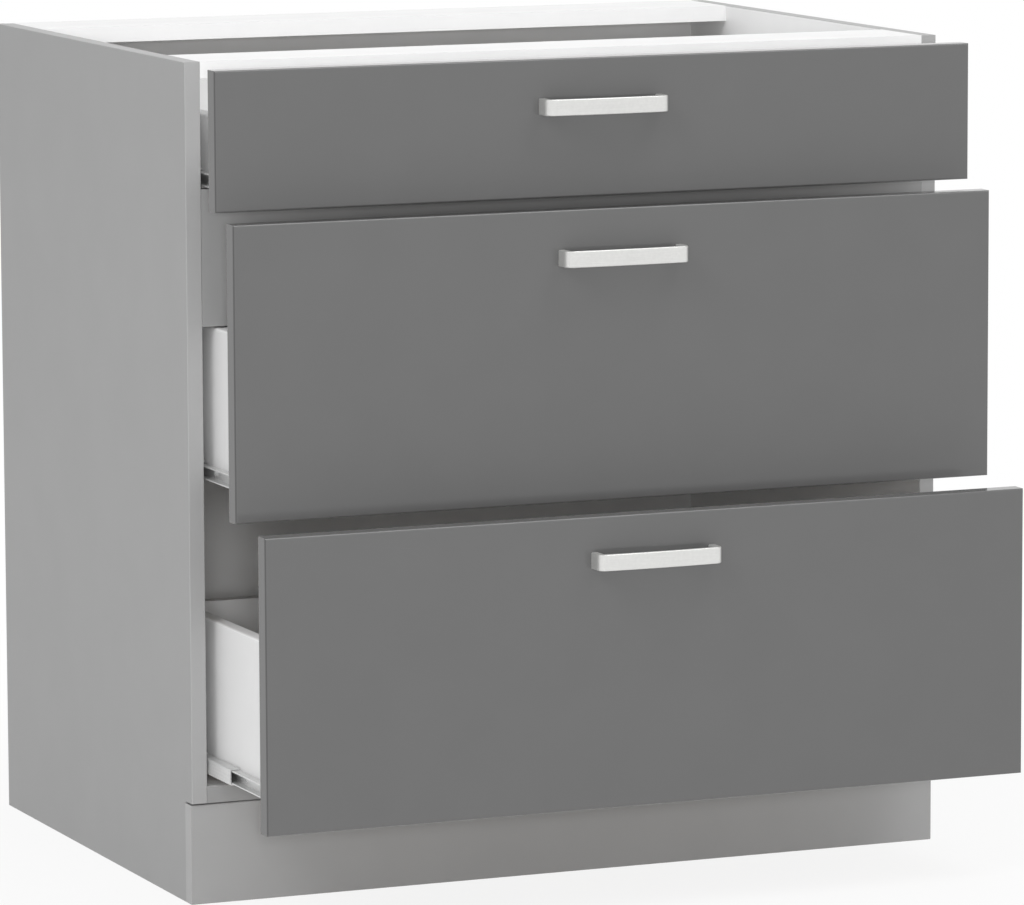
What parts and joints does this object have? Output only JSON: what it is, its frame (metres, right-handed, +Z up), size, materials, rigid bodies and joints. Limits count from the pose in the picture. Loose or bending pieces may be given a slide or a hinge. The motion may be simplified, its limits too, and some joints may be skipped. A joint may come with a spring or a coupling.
{
  "type": "kitchen base cabinet with drawers",
  "caption": "Floor-standing kitchen base cabinet in grey with pull-out drawers on telescopic runners, flat fronts, bar handles and a recessed plinth, open on top for a worktop.",
  "frame": {"origin": "on the floor, in the middle of the plinth's underside", "axes": "+Z up, +Y to the rear, +X to the right of someone who faces the drawers"},
  "size_m": [0.8, 0.783, 0.82],
  "materials": {
    "side_board": "grey melamine with a fine texture, white inside",
    "bottom_board": "white melamine, grey front edge",
    "rail_board": "white melamine",
    "cross_board": "grey melamine, white behind",
    "plinth_board": "grey melamine",
    "front_board": "dark grey gloss foil",
    "box_board": "white foil",
    "thin_board": "white coated hardboard",
    "dowel_beech": "bare beech",
    "runner_zinc": "bright zinc plating",
    "handle_nickel": "satin nickel",
    "screw_steel": "bright zinc plating",
    "cam_zinc": "cast zinc, matt"
  },
  "bodies": {
    "carcase": {"side_left": "side_board", "side_right": "side_board", "bottom_panel": "bottom_board", "top_rail_front": "rail_board", "top_rail_rear": "rail_board", "cross_rail": "cross_board", "plinth": "plinth_board", "back_panel": "thin_board", "carcase_dowels": "dowel_beech", "cam_bolts": "screw_steel", "cam_locks": "cam_zinc", "back_panel_screws": "screw_steel", "cabinet_runner_screws": "screw_steel", "top_drawer_cabinet_runner_left": "runner_zinc", "top_drawer_cabinet_runner_right": "runner_zinc", "middle_drawer_cabinet_runner_left": "runner_zinc", "middle_drawer_cabinet_runner_right": "runner_zinc", "lower_drawer_cabinet_runner_left": "runner_zinc", "lower_drawer_cabinet_runner_right": "runner_zinc"},
    "top_drawer": {"top_drawer_front": "front_board", "top_drawer_handle": "handle_nickel", "top_drawer_side_left": "box_board", "top_drawer_side_right": "box_board", "top_drawer_back": "box_board", "top_drawer_bottom": "thin_board", "top_drawer_drawer_runner_left": "runner_zinc", "top_drawer_drawer_runner_right": "runner_zinc", "top_drawer_dowels": "dowel_beech", "top_drawer_screws": "screw_steel", "top_drawer_handle_screws": "screw_steel"},
    "top_drawer_middle_runners": {"top_drawer_middle_runner_left": "runner_zinc", "top_drawer_middle_runner_right": "runner_zinc"},
    "middle_drawer": {"middle_drawer_front": "front_board", "middle_drawer_handle": "handle_nickel", "middle_drawer_side_left": "box_board", "middle_drawer_side_right": "box_board", "middle_drawer_back": "box_board", "middle_drawer_bottom": "thin_board", "middle_drawer_drawer_runner_left": "runner_zinc", "middle_drawer_drawer_runner_right": "runner_zinc", "middle_drawer_dowels": "dowel_beech", "middle_drawer_screws": "screw_steel", "middle_drawer_handle_screws": "screw_steel"},
    "middle_drawer_middle_runners": {"middle_drawer_middle_runner_left": "runner_zinc", "middle_drawer_middle_runner_right": "runner_zinc"},
    "lower_drawer": {"lower_drawer_front": "front_board", "lower_drawer_handle": "handle_nickel", "lower_drawer_side_left": "box_board", "lower_drawer_side_right": "box_board", "lower_drawer_back": "box_board", "lower_drawer_bottom": "thin_board", "lower_drawer_drawer_runner_left": "runner_zinc", "lower_drawer_drawer_runner_right": "runner_zinc", "lower_drawer_dowels": "dowel_beech", "lower_drawer_screws": "screw_steel", "lower_drawer_handle_screws": "screw_steel"},
    "lower_drawer_middle_runners": {"lower_drawer_middle_runner_left": "runner_zinc", "lower_drawer_middle_runner_right": "runner_zinc"}
  },
  "joints": [
    {"name": "top_drawer_slide", "type": "slide", "parent": "carcase", "child": "top_drawer", "axis": [0, -1, 0], "range_m": [-0.057, 0.393]},
    {"name": "top_drawer_middle_slide", "type": "slide", "parent": "carcase", "child": "top_drawer_middle_runners", "axis": [0, -1, 0], "range_m": [-0.0285, 0.1965]},
    {"name": "middle_drawer_slide", "type": "slide", "parent": "carcase", "child": "middle_drawer", "axis": [0, -1, 0], "range_m": [-0.104, 0.346]},
    {"name": "middle_drawer_middle_slide", "type": "slide", "parent": "carcase", "child": "middle_drawer_middle_runners", "axis": [0, -1, 0], "range_m": [-0.052, 0.173]},
    {"name": "lower_drawer_slide", "type": "slide", "parent": "carcase", "child": "lower_drawer", "axis": [0, -1, 0], "range_m": [-0.181, 0.269]},
    {"name": "lower_drawer_middle_slide", "type": "slide", "parent": "carcase", "child": "lower_drawer_middle_runners", "axis": [0, -1, 0], "range_m": [-0.0905, 0.1345]}
  ],
  "couplings": [
    {"joint": "top_drawer_middle_slide", "follows": "top_drawer_slide", "ratio": 0.5},
    {"joint": "middle_drawer_middle_slide", "follows": "middle_drawer_slide", "ratio": 0.5},
    {"joint": "lower_drawer_middle_slide", "follows": "lower_drawer_slide", "ratio": 0.5}
  ]
}
